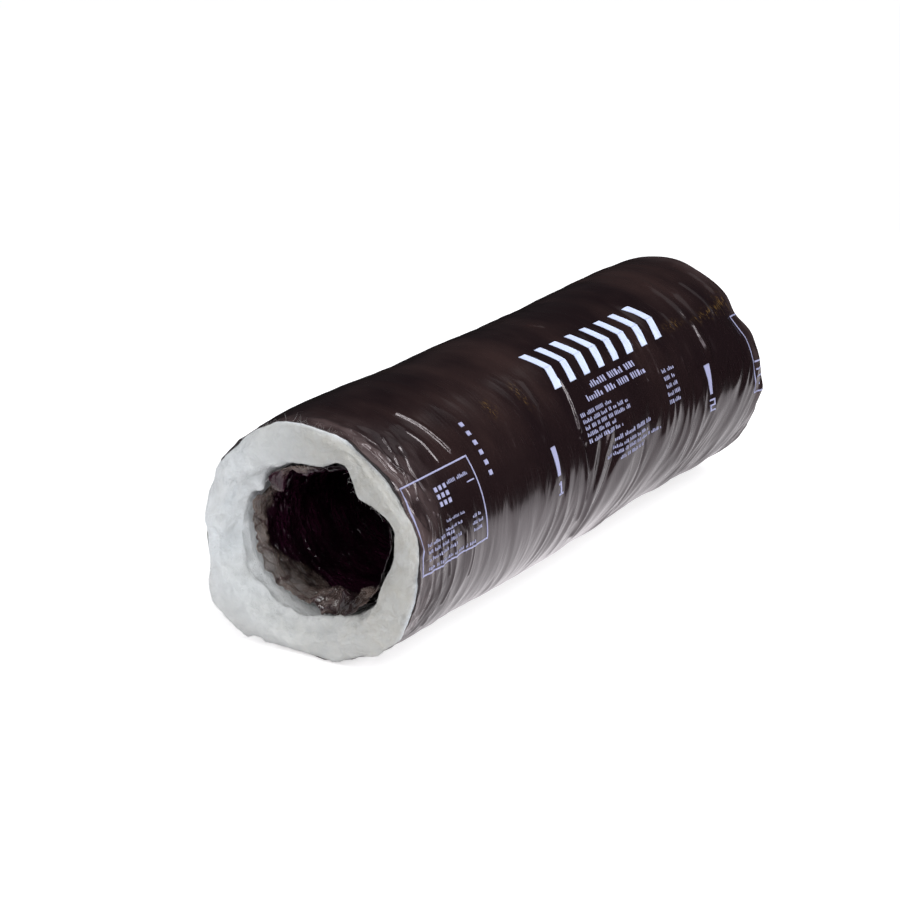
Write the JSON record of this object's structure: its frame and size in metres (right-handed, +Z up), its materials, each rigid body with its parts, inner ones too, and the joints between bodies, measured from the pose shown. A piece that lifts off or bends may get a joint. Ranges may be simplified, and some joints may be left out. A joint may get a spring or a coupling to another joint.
{
  "type": "insulated flexible air duct",
  "caption": "Length of insulated flexible air duct: film core on a wire helix, thick glass wool blanket and a dark gathered film jacket.",
  "frame": {"origin": "on the floor under the middle of the duct, on its centre line", "axes": "+X along the duct from the front mouth to the rear one, +Z up"},
  "size_m": [0.7, 0.2524, 0.2372],
  "materials": {
    "jacket_film": "glossy gathered polyethylene film, nearly black with a brown cast",
    "glass_wool": "loose white glass wool",
    "core_film": "smoky, glossy crumpled film, purple black where it lies doubled",
    "spring_wire": "bare spring wire"
  },
  "bodies": {
    "middle": {"jacket_middle": "jacket_film", "blanket_middle": "glass_wool", "outer_film_middle": "core_film", "wire_helix_middle": "spring_wire", "inner_film_middle": "core_film", "jacket_bend_zone": "jacket_film", "blanket_bend_zone": "glass_wool", "outer_film_bend_zone": "core_film", "wire_helix_bend_zone": "spring_wire", "inner_film_bend_zone": "core_film"},
    "front_core": {"outer_film_front": "core_film", "wire_helix_front": "spring_wire", "inner_film_front": "core_film"},
    "front_sleeve": {"jacket_front": "jacket_film", "blanket_front": "glass_wool"},
    "gather_zone": {"jacket_gather_zone": "jacket_film", "blanket_gather_zone": "glass_wool", "outer_film_gather_zone": "core_film", "wire_helix_gather_zone": "spring_wire", "inner_film_gather_zone": "core_film"},
    "rear_length": {"jacket_rear": "jacket_film", "blanket_rear": "glass_wool", "outer_film_rear": "core_film", "wire_helix_rear": "spring_wire", "inner_film_rear": "core_film"}
  },
  "joints": [
    {"name": "bend_sideways", "type": "hinge", "parent": "middle", "child": "front_core", "pos_m": [-0.135, 0, 0.116], "axis": [0, 0, 1], "range_deg": [-30, 30], "deforming": ["jacket_bend_zone", "blanket_bend_zone", "outer_film_bend_zone", "wire_helix_bend_zone", "inner_film_bend_zone"]},
    {"name": "peel_back", "type": "slide", "parent": "front_core", "child": "front_sleeve", "axis": [1, 0, 0], "range_m": [0, 0.05], "deforming": ["jacket_bend_zone", "blanket_bend_zone"]},
    {"name": "stretch", "type": "slide", "parent": "middle", "child": "gather_zone", "axis": [1, 0, 0], "range_m": [-0.06, 0.015], "deforming": ["jacket_gather_zone", "blanket_gather_zone", "outer_film_gather_zone", "wire_helix_gather_zone", "inner_film_gather_zone"]},
    {"name": "bend_upward", "type": "hinge", "parent": "gather_zone", "child": "rear_length", "pos_m": [0.195, 0, 0.116], "axis": [0, -1, 0], "range_deg": [-30, 30], "deforming": ["jacket_gather_zone", "blanket_gather_zone", "outer_film_gather_zone", "wire_helix_gather_zone", "inner_film_gather_zone"]}
  ]
}
